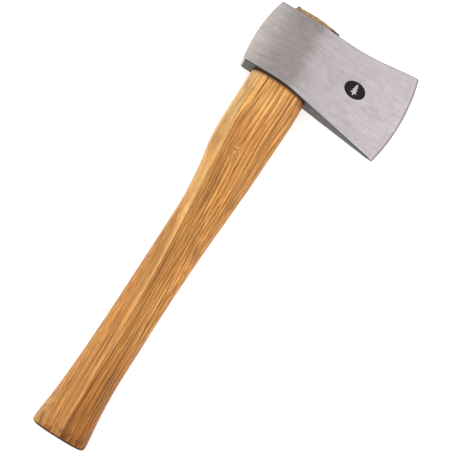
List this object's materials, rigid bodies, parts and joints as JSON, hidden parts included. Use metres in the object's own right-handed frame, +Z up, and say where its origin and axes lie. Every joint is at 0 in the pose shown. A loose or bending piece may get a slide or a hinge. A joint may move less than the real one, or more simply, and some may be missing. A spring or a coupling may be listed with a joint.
{
  "type": "hatchet",
  "caption": "Short hatchet: forged steel head with a flared bit and a flat-topped poll, wedged on a swelling ash haft with a flared butt.",
  "frame": {"origin": "bottom centre of the bounding box: the hatchet lies flat on one cheek and on its butt", "axes": "+X along the haft from the butt to the head, +Y from the cutting edge to the poll, +Z up through the thickness"},
  "size_m": [0.3802, 0.134, 0.0286],
  "materials": {
    "head_steel": "satin, ground lengthwise, clear lacquered",
    "haft_ash": "satin varnish over straight-grained ash",
    "wedge_beech": "sawn, unfinished",
    "wedge_steel": "dark oxidised, hammered"
  },
  "bodies": {
    "root": {"head": "head_steel", "haft": "haft_ash", "wooden_wedge": "wedge_beech", "steel_wedge": "wedge_steel"}
  },
  "joints": []
}
